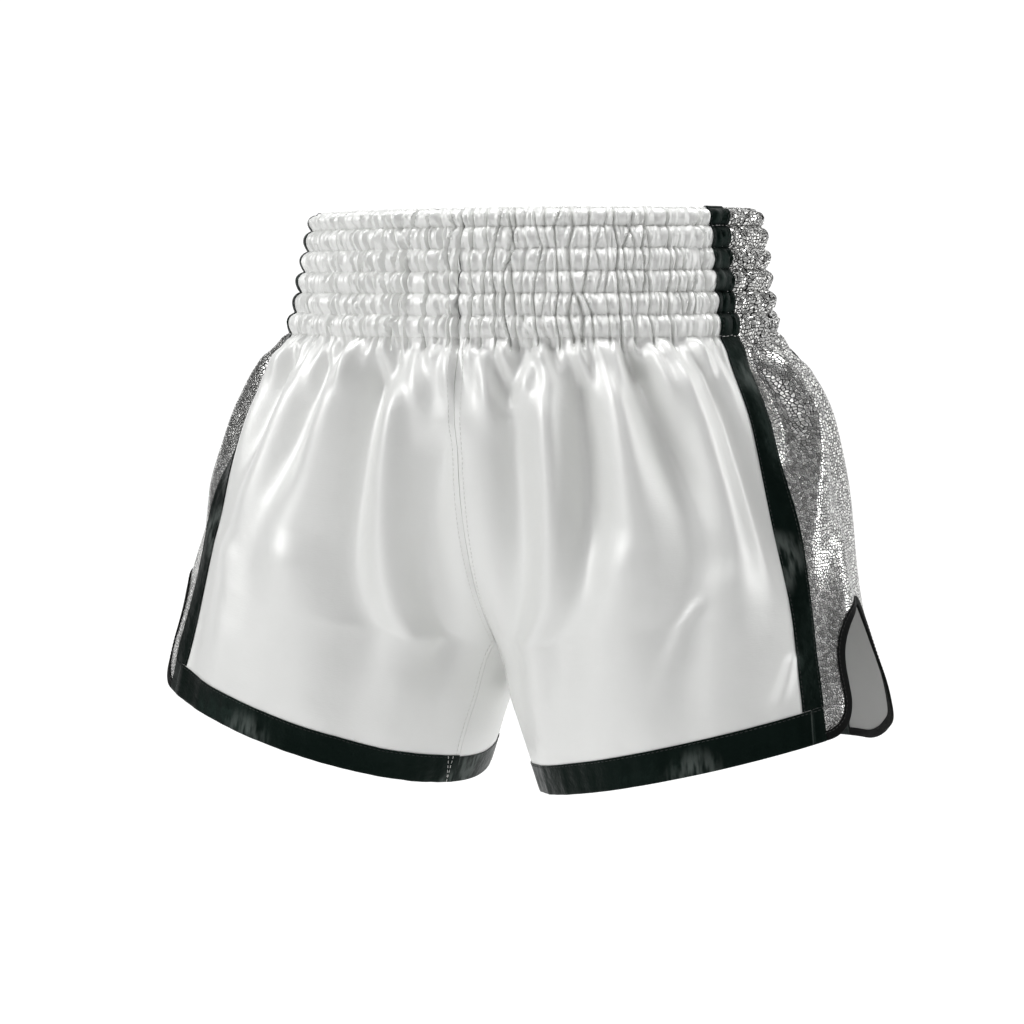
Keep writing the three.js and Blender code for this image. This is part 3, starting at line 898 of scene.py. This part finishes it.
# %% Flat ribbons over the seams
TAPE = 0.0005
OVER = CLOTH / 2 + TAPE / 2 + 0.00015  # height of a ribbon's middle over the cloth's middle
TRIM_WIDTH, HEM_WIDTH, BINDING_WIDTH = 0.014, 0.017, 0.0045
TRIM_FOOT = {flap: above_hem(on_flap(SEAM_SHARE, flap), HEM_WIDTH + GAP) for flap in VENT}


def trim_reach(depth, flap):
    """A ribbon's half width as a share of the girth."""
    return TRIM_WIDTH / 2 * share_per_metre(on_flap(SEAM_SHARE, flap), depth)


def trim_grid(flap):
    rows = np.append(ROWS[ROWS < TRIM_FOOT[flap] - 0.001], TRIM_FOOT[flap])[:, None]
    shares = SEAM_SHARE + spread(-1, 1, 10) * trim_reach(np.maximum(rows, 0), flap)
    return on_flap(shares, flap), np.broadcast_to(rows, shares.shape)


for side_name, side in SIDES.items():
    for part in ("front", "back"):
        shares, depths = trim_grid(part)
        name = f"ribbon_{part}_{side_name}"
        piece, points = cloth_piece(name, side, shares, depths, [BLACK_SATIN], height=OVER, thick=TAPE)
        hang(piece, [f"trim_{part}_{side_name}"])
print("ribbon area", round(grid_area(points), 4))


# %% Folded tapes
def hairpin(width, steps):
    """Height over the cloth and distance in from its edge, along the middle of a tape folded over it."""
    half_turn = spread(-np.pi / 2, np.pi / 2, 6)
    bend = np.stack([-np.sin(half_turn) * OVER, -np.cos(half_turn) * OVER], -1)
    down = np.stack([np.full(steps, OVER), spread(width, 0, steps)[:-1]], -1)
    up = down[::-1] * np.array([-1, 1])
    profile = np.concatenate([down, bend, up])
    along = np.gradient(profile, axis=0)
    out = unit(np.stack([-along[:, 1], along[:, 0]], -1))
    return profile, out


def folded_tape(name, edge_place, width, material, uv_along, steps=8):
    """edge_place(height, inward) gives the points along the edge for one place of the profile."""
    profile, out = hairpin(width, steps)
    skins = [
        np.stack([edge_place(*(spot + sign * TAPE / 2 * o)) for spot, o in zip(profile, out)], 1)
        for sign in (1, -1)
    ]
    run = np.concatenate([[0], np.cumsum(np.linalg.norm(np.diff(profile, axis=0), axis=1))])
    uv = np.stack(np.broadcast_arrays(uv_along[:, None], run), -1)
    return closed_sheet(name, skins[0], skins[1], uv, materials=[material]), grid_area(skins[0])


HEM_FLAT_WIDTH = 0.0365  # both faces of the folded band, and the fold
HEM_LENGTHS = {"front": 0.242, "back": 0.222}  # along the worn hem, as a tape is not gathered
BAND_SHARES = {
    flap: on_flap(np.append(FRONT_SHARES[-1], SEAM_SHARE + spread(0, trim_reach(HEM, flap), 6)[1:]), flap)
    for flap in VENT
}
for side_name, side in SIDES.items():
    for part in ("front", "back"):
        shares = BAND_SHARES[part]
        along = shares / share_per_metre(shares, HEM)

        def edge(height, inward):
            return cloth(side, shares, above_hem(shares, inward), height)

        name = f"hem_ribbon_{part}_{side_name}"
        piece, area = folded_tape(name, edge, HEM_WIDTH, BLACK_SATIN, along, 14)
        flat = (HEM_FLAT_WIDTH, HEM_LENGTHS[part])
        hang(piece, [f"hem_band_{part}_{side_name}"])
        print(name, "area", round(area, 4))

for side_name, side in SIDES.items():
    row = GUSSET[0 if side == 1 else -1]
    normals = GUSSET_NORMALS[0 if side == 1 else -1]
    up = unit(GUSSET[1 if side == 1 else -2] - row)
    along = np.concatenate([[0], np.cumsum(np.linalg.norm(np.diff(row, axis=0), axis=1))])

    def edge(height, inward):
        return row + normals * height + up * inward

    piece, area = folded_tape(f"hem_ribbon_gusset_{side_name}", edge, HEM_WIDTH, BLACK_SATIN, along, 14)
    node, flat = f"hem_band_gusset_{side_name}", (HEM_FLAT_WIDTH, 0.060)
    hang(piece, [node])
print("gusset hem band area", round(area, 4))


# %% Vent bindings
def binding_path():
    """Places along both flaps' lower edges and round the vent."""
    path = []
    for flap in ("front", "back"):
        seam = on_flap(SEAM_SHARE, flap)
        start = on_flap(SEAM_SHARE + trim_reach(HEM, flap) + 0.0005 * share_per_metre(seam, HEM), flap)
        low, up = flap_spot(ACROSS, 1.0, flap), flap_spot(1.0, VENT_FALLS[1:-1][::-1], flap)
        beyond = np.abs(low[0] - seam) > abs(start - seam) + 0.004
        spots = np.stack([np.r_[start, low[0][beyond], up[0]], np.r_[HEM, low[1][beyond], up[1]]], -1)
        path.append(spots if flap == "front" else spots[::-1])
    top = np.stack(flap_spot(1.0, VENT_TOP, "front"))[None]
    return np.concatenate([path[0], top, path[1]])


def even_out(path, step):
    """The same path with equal steps along the real cloth."""
    points = body(path[:, 0], path[:, 1])
    run = np.r_[0, np.cumsum(np.linalg.norm(np.diff(points, axis=0), axis=1))]
    stops = np.linspace(0, run[-1], max(int(run[-1] / step), 4) + 1)
    return np.stack([np.interp(stops, run, path[:, i]) for i in (0, 1)], -1), stops


BINDING_PATH, BINDING_RUN = even_out(binding_path(), 0.0016)
for side_name, side in SIDES.items():
    share, depth = BINDING_PATH.T
    edge_points = cloth(side, share, depth, 0.0)
    normals = unit(cloth(side, share, depth, 0.001) - edge_points)
    into = unit(np.cross(normals, np.gradient(edge_points, axis=0))) * side

    def edge(height, inward):
        return edge_points + normals * height + into * inward

    name = f"vent_tape_{side_name}"
    piece, area = folded_tape(name, edge, BINDING_WIDTH, BLACK_BINDING, BINDING_RUN, 4)
    hang(piece, [f"vent_binding_{side_name}"])
print("binding length", round(BINDING_RUN[-1], 4), "area", round(area, 4))

# %% [markdown]
# ## Elastics and facing
# Six flat elastics run round the waist, one to a channel, with the gathered satin outside and a satin facing
# inside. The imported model's elastics are the right shape and lie hidden in their channels, so they only get a
# better material. The facing puffs inward between the rows of stitching as the outside puffs outward.

# %% Rings round the waist
def ring_grid(shares_half, depths, height_at):
    """A closed ring: rows of depth by places round the whole waist, without a doubled column."""
    left = height_at(1, shares_half[None, :], depths[:, None])
    left[:, [0, -1], 0] = 0
    right = height_at(-1, shares_half[None, 1:-1], depths[:, None])[:, ::-1]
    return np.concatenate([left, right], 1)


def ring_faces(rows, around):
    ids = np.arange(rows * around).reshape(rows, around)
    ids = np.hstack([ids, ids[:, :1]])
    return np.stack([ids[:-1, :-1], ids[1:, :-1], ids[1:, 1:], ids[:-1, 1:]], -1).reshape(-1, 4)


def ring(name, shares, depths, height, thick, material):
    def at(offset):
        def over(side, share, depth):
            return body_over(side, share, depth, height(side, share, depth) + offset)

        return ring_grid(shares, depths, over)

    outer, inner = at(thick / 2), at(-thick / 2)
    round_it = np.r_[0, np.cumsum(np.linalg.norm(np.diff(outer[0], axis=0), axis=1))]
    uv = np.stack(np.broadcast_arrays(round_it, -depths[:, None]), -1)
    return closed_sheet(name, outer, inner, uv, ring_faces(*outer.shape[:2]), [material]), grid_area(outer)


def body_over(side, share, depth, height):
    """A point at a height over the plain body surface."""
    side, share, depth, height = np.broadcast_arrays(side, share, np.maximum(depth, 0), height)
    e, f = 1e-3, 5e-4
    across = body(share + e, depth) - body(share - e, depth)
    down = body(share, depth + f) - body(share, depth - f)
    point = body(share, depth) + unit(np.cross(down, across)) * height[..., None]
    return point * np.stack([side, np.ones_like(side), np.ones_like(side)], -1)


FACING_HEIGHT = -2 * TOP_ROLL
RING_SHARES = spread(0, 1, 320)
for i in range(6):
    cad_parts[f"elastic_band_{i + 1}"].material_slots[0].material = ELASTIC


def facing_height(side, share, depth):
    girth = side * share * HALF_GIRTH
    girth, depth = (a.astype(float) for a in np.broadcast_arrays(girth + 0.003, depth))
    fade = ease(depth, 0, 0.003)
    puffed = np.maximum(waistband_relief(girth, depth) * channel_arch(depth), -0.0008)
    return FACING_HEIGHT - 0.45 * fade * puffed


def channel_arch(depth):
    t, _ = channel_place(depth)
    return np.sin(np.pi * np.clip(t, 0, 1))


facing, area = ring("satin_facing", RING_SHARES, spread(0, WAISTBAND, 56), facing_height, CLOTH, WHITE_SATIN)
hang(facing, ["waist_facing"])
print("facing area", round(area, 4))

# %% [markdown]
# ## Stitches
# Every seam shows its thread: a row of small stitches a few millimetres apart. Modelling them one by one
# would be endless, so a Geometry Nodes tree walks along each seam line, drops a stitch at every step and
# turns it along the line. The same tree serves all the threads, with its own step and size each time.

# %% The stitching tree
def make_stitch_tree():
    tree = bpy.data.node_groups.new("stitches along lines", "GeometryNodeTree")
    face = tree.interface
    face.new_socket("Geometry", in_out="INPUT", socket_type="NodeSocketGeometry")
    face.new_socket("Step", in_out="INPUT", socket_type="NodeSocketFloat")
    face.new_socket("Length", in_out="INPUT", socket_type="NodeSocketFloat")
    face.new_socket("Thickness", in_out="INPUT", socket_type="NodeSocketFloat")
    face.new_socket("Thread", in_out="INPUT", socket_type="NodeSocketMaterial")
    face.new_socket("Geometry", in_out="OUTPUT", socket_type="NodeSocketGeometry")

    def add(kind, **settings):
        node = tree.nodes.new(kind)
        for key, v in settings.items():
            setattr(node, key, v)
        return node

    def link(a, b):
        tree.links.new(a, b)

    inputs, output = add("NodeGroupInput"), add("NodeGroupOutput")
    lines = add("GeometryNodeMeshToCurve")
    steps = add("GeometryNodeResampleCurve", mode="LENGTH")
    tangent = add("GeometryNodeInputTangent")
    turn = add("FunctionNodeAlignRotationToVector", axis="Z")
    bead = add("GeometryNodeMeshUVSphere")
    bead.inputs["Segments"].default_value = 6
    bead.inputs["Rings"].default_value = 4
    bead.inputs["Radius"].default_value = 0.5
    size = add("ShaderNodeCombineXYZ")
    drop = add("GeometryNodeInstanceOnPoints")
    real = add("GeometryNodeRealizeInstances")
    paint = add("GeometryNodeSetMaterial")
    link(inputs.outputs["Geometry"], lines.inputs["Mesh"])
    link(lines.outputs["Curve"], steps.inputs["Curve"])
    link(inputs.outputs["Step"], steps.inputs["Length"])
    link(steps.outputs["Curve"], drop.inputs["Points"])
    link(bead.outputs["Mesh"], drop.inputs["Instance"])
    link(tangent.outputs["Tangent"], turn.inputs["Vector"])
    link(turn.outputs["Rotation"], drop.inputs["Rotation"])
    link(inputs.outputs["Thickness"], size.inputs["X"])
    link(inputs.outputs["Thickness"], size.inputs["Y"])
    link(inputs.outputs["Length"], size.inputs["Z"])
    link(size.outputs["Vector"], drop.inputs["Scale"])
    link(drop.outputs["Instances"], real.inputs["Geometry"])
    link(real.outputs["Geometry"], paint.inputs["Geometry"])
    link(inputs.outputs["Thread"], paint.inputs["Material"])
    link(paint.outputs["Geometry"], output.inputs["Geometry"])
    return tree


STITCHES = make_stitch_tree()


def sew(name, lines, step, length, thickness, thread):
    """Stitches along lines of points, as one plain mesh."""
    points = np.concatenate(lines)
    ends = np.cumsum([len(line) for line in lines])
    edges = [(i, i + 1) for i in range(len(points) - 1) if i + 1 not in ends]
    guide = bpy.data.meshes.new(name)
    guide.from_pydata(points.tolist(), edges, [])
    piece = bpy.data.objects.new(name, guide)
    bpy.context.scene.collection.objects.link(piece)
    modifier = piece.modifiers.new("stitches", "NODES")
    modifier.node_group = STITCHES
    values = {"Step": step, "Length": length, "Thickness": thickness, "Thread": thread}
    for item in STITCHES.interface.items_tree:
        if item.name in values and item.in_out == "INPUT":
            modifier[item.identifier] = values[item.name]
    piece.update_tag()
    bpy.context.view_layer.update()
    evaluated = piece.evaluated_get(bpy.context.evaluated_depsgraph_get())
    mesh = bpy.data.meshes.new_from_object(evaluated)
    piece.modifiers.remove(modifier)
    piece.data = mesh
    bpy.data.meshes.remove(guide)
    mesh.name = name
    mesh.materials.pop(index=0)  # the guide's empty slot
    mesh.polygons.foreach_set("material_index", np.zeros(len(mesh.polygons), int))
    mesh.shade_smooth()
    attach(piece, "root")
    print(name, "faces", len(mesh.polygons), "material", [m.name for m in mesh.materials])
    return piece


# %% Seam lines
def seam_line(side, shares, depths, height):
    shares, depths = np.broadcast_arrays(np.float64(shares), np.float64(depths))
    return cloth(side, shares, depths, height)


def beside(share, depth, metres):
    """A place a little further round than a share."""
    return share + metres * share_per_metre(share, depth)


ON_CLOTH, ON_TAPE = CLOTH / 2 + 0.0001, OVER + TAPE / 2 + 0.0001
ROW_DEPTHS = CHANNEL_ENDS[1:]
TRIM_EDGE = TRIM_WIDTH / 2


def waist_rows():
    """The shirring rows: over the satin and the foil, and over the ribbons."""
    cloth_lines, ribbon_lines = [], []
    for side in (1, -1):
        for depth in ROW_DEPTHS:
            edge = float(trim_reach(depth, "front"))
            front_seam, back_seam = SEAM_SHARE, 1 - SEAM_SHARE
            stops = [0.001, front_seam - edge, front_seam + edge, back_seam - edge, back_seam + edge, 0.999]
            for k, (a, b) in enumerate(zip(stops[:-1], stops[1:])):
                over_ribbon = k % 2 == 1
                points, height = (24, ON_TAPE) if over_ribbon else (200, ON_CLOTH)
                line = seam_line(side, spread(a, b, points), depth, height)
                (ribbon_lines if over_ribbon else cloth_lines).append(line)
    return cloth_lines, ribbon_lines


def ribbon_edges():
    lines = []
    for side in (1, -1):
        for flap in VENT:
            depths = ROWS[(ROWS >= 0) & (ROWS < TRIM_FOOT[flap])]
            for inset in (-1, 1):
                shares = beside(on_flap(SEAM_SHARE, flap), depths, inset * (TRIM_EDGE - 0.0012))
                lines.append(seam_line(side, shares, depths, ON_TAPE))
    return lines


def hem_lines():
    lines = []
    for side in (1, -1):
        for shares in BAND_SHARES.values():
            lines.append(seam_line(side, shares, above_hem(shares, HEM_WIDTH - 0.0012), ON_TAPE))
    return lines


def centre_lines():
    """Top-stitching beside the centre seams, and rows along the gusset."""
    lines = []
    depths = spread(WAISTBAND, FORK, 90)
    for side in (1, -1):
        lines.append(seam_line(side, beside(0.001, depths, 0.0032), depths, ON_CLOTH))
        lines.append(seam_line(side, beside(0.999, depths, -0.0032), depths, ON_CLOTH))
        leg = spread(FORK, HEM - 0.016, 40)
        lines.append(seam_line(side, beside(0.0, leg, 0.0028), leg, ON_CLOTH))
        lines.append(seam_line(side, beside(1.0, leg, -0.0028), leg, ON_CLOTH))
    return lines


def bar_tacks():
    """Two short rows across the wearer's right hem band, where its tape is joined beside the gusset."""
    places = above_hem(0.01, spread(0.0005, HEM_WIDTH - 0.001, 8))
    return [seam_line(-1, 0.012 + 0.001 * lean * spread(0, 8, 8), places, ON_TAPE) for lean in (0, 1)]


def binding_lines():
    lines = []
    for side in (1, -1):
        share, depth = BINDING_PATH.T
        edge_points = cloth(side, share, depth, 0.0)
        normals = unit(cloth(side, share, depth, 0.001) - edge_points)
        into = unit(np.cross(normals, np.gradient(edge_points, axis=0))) * side
        lines.append(edge_points + normals * ON_TAPE + into * (BINDING_WIDTH - 0.001))
    return lines


cloth_rows, ribbon_rows = waist_rows()
edge_rows = ribbon_edges() + hem_lines()
seam_rows = centre_lines() + bar_tacks()
sew("stitches_shirring", cloth_rows, 0.0029, 0.0024, 0.00042, WHITE_THREAD)
sew("stitches_on_ribbon", ribbon_rows, 0.0029, 0.0021, 0.00045, WHITE_THREAD)
sew("stitches_ribbon_edges", edge_rows, 0.0028, 0.0021, 0.0004, BLACK_THREAD)
sew("stitches_centre_seams", seam_rows, 0.0030, 0.0024, 0.00042, WHITE_THREAD)
sew("stitches_binding", binding_lines(), 0.0026, 0.0019, 0.00035, BLACK_THREAD)

# %% [markdown]
# ## Floor, camera and lights
# The shorts are worn: nothing holds them up from below. They hang in front of a pale paper sweep, lit by a
# large soft light from the upper left of the front, so the flutes show, and a weaker fill from the right.
# The paper behind and under the back glows by itself, so it stays white without a lamp that would bleach the
# back of the shorts.

# %% Paper sweep
def make_sweep():
    floor_z, front_y, back_y, radius, half_width = -0.62, -4.5, 1.6, 0.7, 6.0
    arc = spread(0, np.pi / 2, 24)
    line = [(front_y, floor_z), (0, floor_z)]
    line += [(back_y + radius * math.sin(a), floor_z + radius * (1 - math.cos(a))) for a in arc]
    line.append((back_y + radius, 5.0))
    points = [(x, y, z) for y, z in line for x in (-half_width, half_width)]
    faces = [(2 * i, 2 * i + 1, 2 * i + 3, 2 * i + 2) for i in range(len(line) - 1)]
    mesh = bpy.data.meshes.new("paper sweep")
    mesh.from_pydata(points, [], faces)
    mesh.shade_smooth()
    mesh.materials.append(new_material("white paper", Base_Color=(0.9, 0.9, 0.9), Roughness=0.9)[0])
    lit = {"Base_Color": (0.1, 0.1, 0.1), "Emission_Color": (1, 1, 1), "Emission_Strength": 1.0}
    mesh.materials.append(new_material("lit paper", Roughness=0.9, **lit)[0])
    for face in mesh.polygons:
        face.material_index = int(face.index > 0)
    sweep = bpy.data.objects.new("paper_sweep", mesh)
    bpy.context.scene.collection.objects.link(sweep)
    return sweep


make_sweep()


# %% Camera
def make_camera(yaw, pitch, roll, distance, target_right, target_up, lens):
    """A camera that looks at a place beside the waist's middle. Yaw turns it towards the wearer's left."""
    back = np.array([math.sin(yaw) * math.cos(pitch), -math.cos(yaw) * math.cos(pitch), math.sin(pitch)])
    right = np.array([math.cos(yaw), math.sin(yaw), 0.0])
    up = np.cross(back, right)
    target = right * target_right + np.array([0, 0, target_up])
    rolled = right * math.cos(roll) + up * math.sin(roll)
    camera = bpy.data.objects.new("camera", bpy.data.cameras.new("camera"))
    camera.data.lens, camera.data.sensor_width = lens, 36.0
    camera.data.clip_start = 0.01
    turn = np.eye(4)
    turn[:3, 0], turn[:3, 1], turn[:3, 2] = rolled, np.cross(back, rolled), back
    turn[:3, 3] = target + back * distance
    camera.matrix_world = Matrix(turn.tolist())
    bpy.context.scene.collection.objects.link(camera)
    bpy.context.scene.camera = camera
    return camera


make_camera(math.radians(21.85), math.radians(6.69), math.radians(-0.37), 1.313, -0.0152, -0.1921, 70.6)


# %% Lights
def soft_box(name, spot, aim, size, watts):
    light = bpy.data.lights.new(name, "AREA")
    light.shape, light.size, light.size_y, light.energy = "RECTANGLE", size[0], size[1], watts
    lamp = bpy.data.objects.new(name, light)
    lamp.location = spot
    lamp.rotation_euler = (Vector(aim) - Vector(spot)).to_track_quat("-Z", "Y").to_euler()
    bpy.context.scene.collection.objects.link(lamp)
    return lamp


soft_box("key", (-1.5, -1.5, 0.8), (0, 0, -0.2), (0.8, 1.1), 22.5)
soft_box("front", (0.9, -2.0, 0.9), (0, 0, -0.2), (0.5, 0.9), 3)
soft_box("side", (1.9, 0.2, 0.3), (0.1, 0, -0.2), (0.5, 1.4), 8)
soft_box("top", (0.1, -0.2, 1.7), (0, 0, 0), (0.9, 0.9), 22)
world = bpy.data.worlds.new("studio")
world.use_nodes = True
world.node_tree.nodes["Background"].inputs["Color"].default_value = (1, 1, 1, 1)
world.node_tree.nodes["Background"].inputs["Strength"].default_value = 0.16
bpy.context.scene.world = world
bpy.context.scene.view_settings.view_transform = "Standard"
